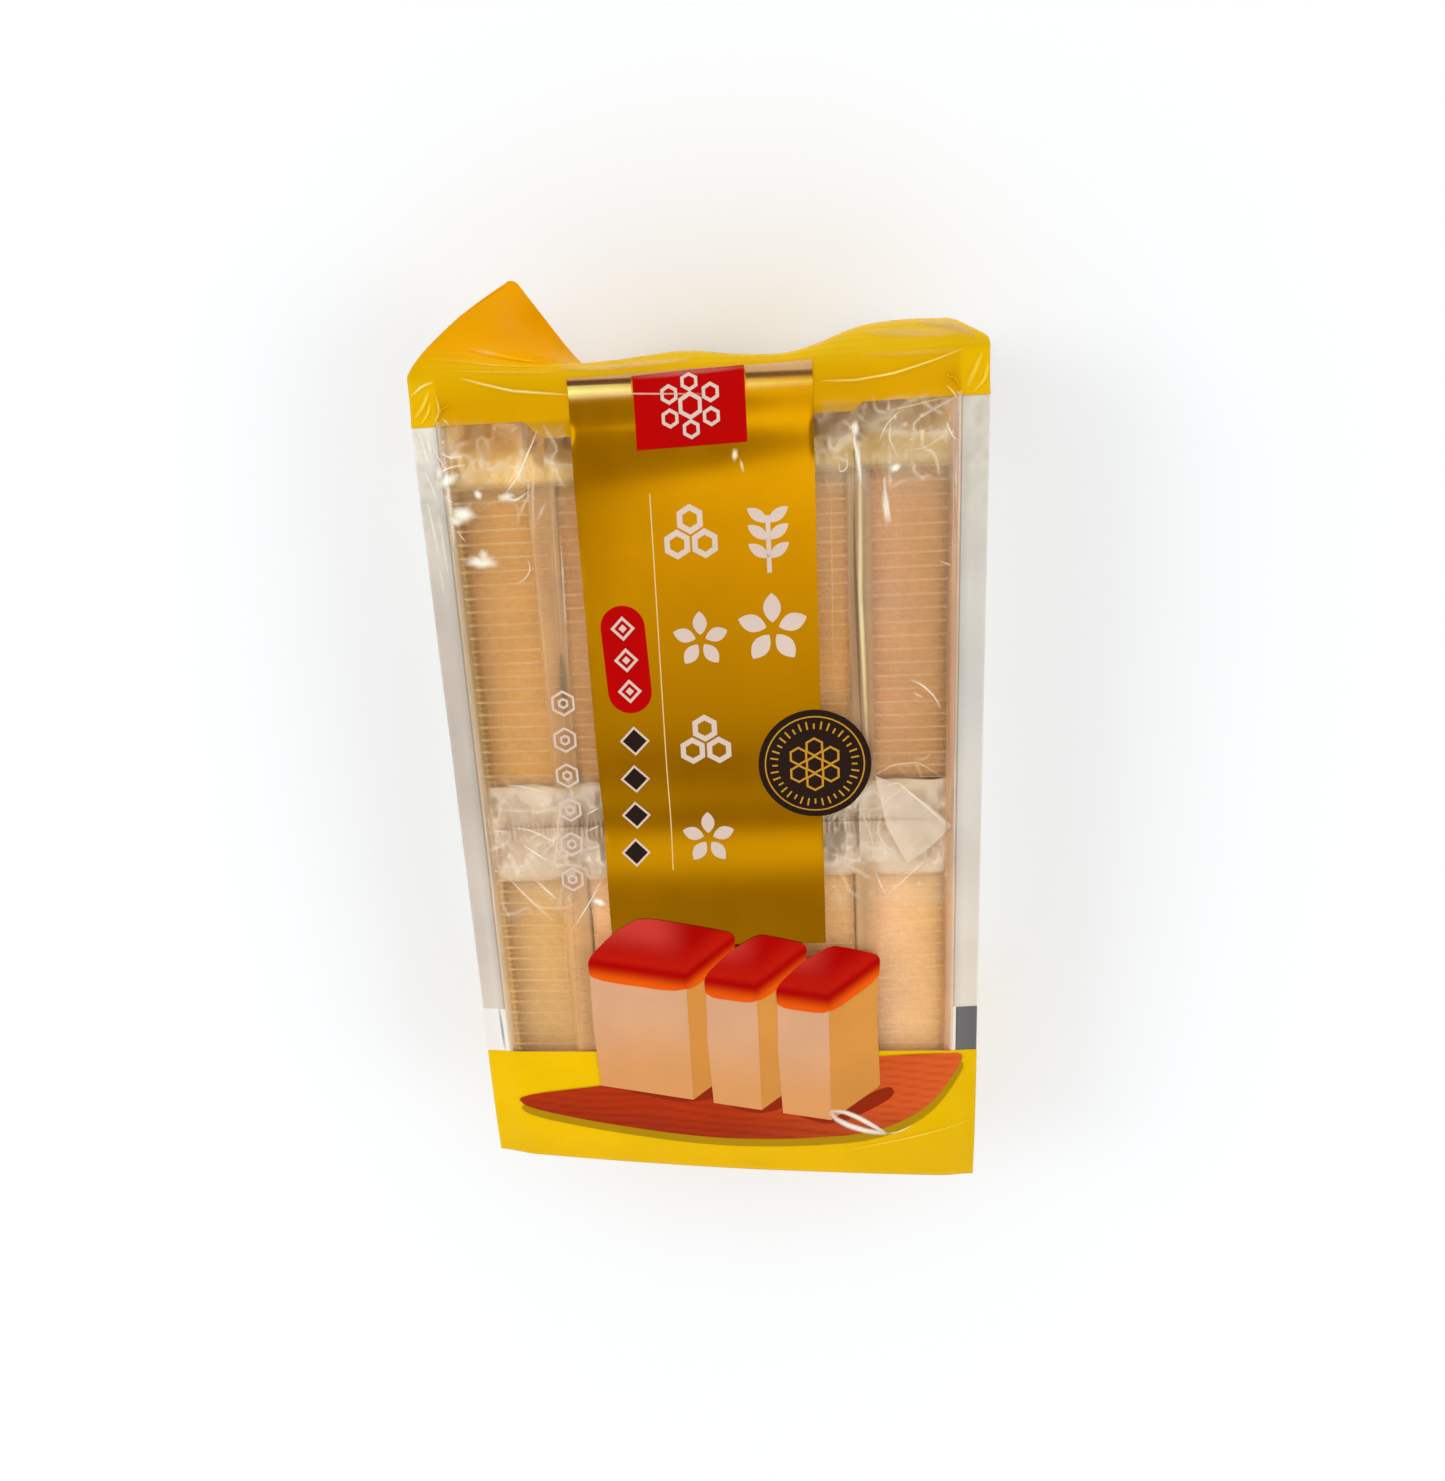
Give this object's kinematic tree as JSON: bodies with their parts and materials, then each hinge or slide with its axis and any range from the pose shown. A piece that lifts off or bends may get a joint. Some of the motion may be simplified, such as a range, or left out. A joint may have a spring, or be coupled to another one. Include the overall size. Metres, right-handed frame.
{
  "type": "pack of honey castella",
  "caption": "Shut clear-window bag of wrapped castella sponge pieces in ribbed trays, with yellow end bands, a gold strip and a folded header, lying on its back.",
  "frame": {"origin": "centre of the bounding box's bottom face, on the surface that the bag lies on", "axes": "+Z out of the printed front, +Y towards the header at the top end, +X to the right of the front"},
  "size_m": [0.155, 0.2734, 0.0476],
  "materials": {
    "film": "gloss printed film"
  },
  "bodies": {
    "root": {"bag": "film"}
  },
  "joints": []
}
